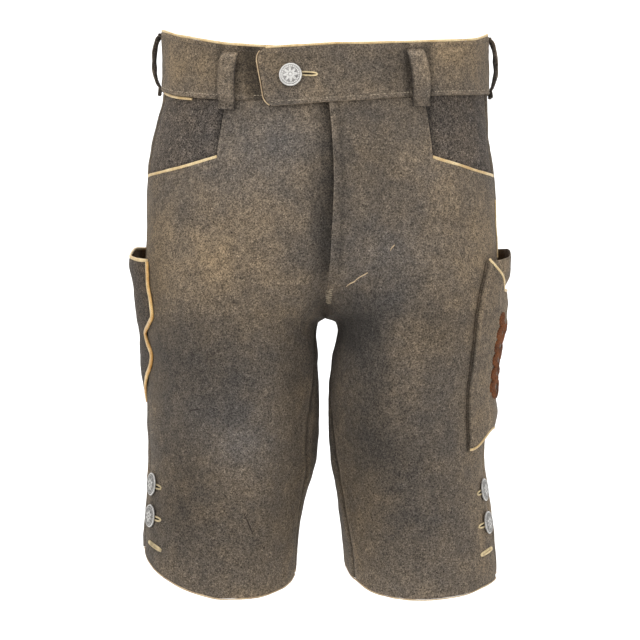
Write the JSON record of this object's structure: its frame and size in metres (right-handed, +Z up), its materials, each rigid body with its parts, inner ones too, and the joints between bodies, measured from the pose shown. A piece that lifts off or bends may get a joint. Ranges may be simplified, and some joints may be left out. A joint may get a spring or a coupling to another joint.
{
  "type": "lederhosen",
  "caption": "Short grey-brown suede breeches with a straight waistband, buttoned tab, piped pockets, belt loops and buttoned leg slits, open at waist and hems.",
  "frame": {"origin": "middle of the waist opening, halfway up the waistband", "axes": "+Z up, front towards -Y, the wearer's left towards +X"},
  "size_m": [0.3801, 0.2546, 0.5628],
  "materials": {
    "suede": "worn napped suede, grey-brown, mottled",
    "dark_suede": "darker suede, unworn",
    "light_leather": "butter-coloured undyed leather, cut edge",
    "old_silver": "antique silver-coloured cast metal, darkened in the hollows",
    "rust_thread": "rust-brown embroidery thread in satin stitch"
  },
  "bodies": {
    "root": {"back_left": "suede", "back_right": "suede", "belt_loop_back": "suede", "belt_loop_front_left": "suede", "belt_loop_front_right": "suede", "belt_loop_side_left": "suede", "belt_loop_side_right": "suede", "button_leg_left_lower": "old_silver", "button_leg_left_upper": "old_silver", "button_leg_right_lower": "old_silver", "button_leg_right_upper": "old_silver", "button_waist": "old_silver", "cargo_overlay": "suede", "cargo_pocket": "suede", "embroidered_sprig": "rust_thread", "fly_underlap": "dark_suede", "front_left": "suede", "front_right": "suede", "hem_piping_back_left": "light_leather", "hem_piping_back_right": "light_leather", "hem_piping_front_left": "light_leather", "hem_piping_front_right": "light_leather", "knife_mouth_piping": "light_leather", "knife_pocket": "suede", "knife_pocket_piping": "light_leather", "overlay_piping_bottom": "light_leather", "overlay_piping_top": "light_leather", "pocket_facing_left": "dark_suede", "pocket_facing_right": "dark_suede", "pocket_piping_left": "light_leather", "pocket_piping_right": "light_leather", "side_seam_piping": "light_leather", "slit_underlap_left": "suede", "slit_underlap_right": "suede", "tab_piping": "light_leather", "waistband": "suede", "waistband_piping": "light_leather", "watch_pocket_piping": "light_leather"}
  },
  "joints": []
}
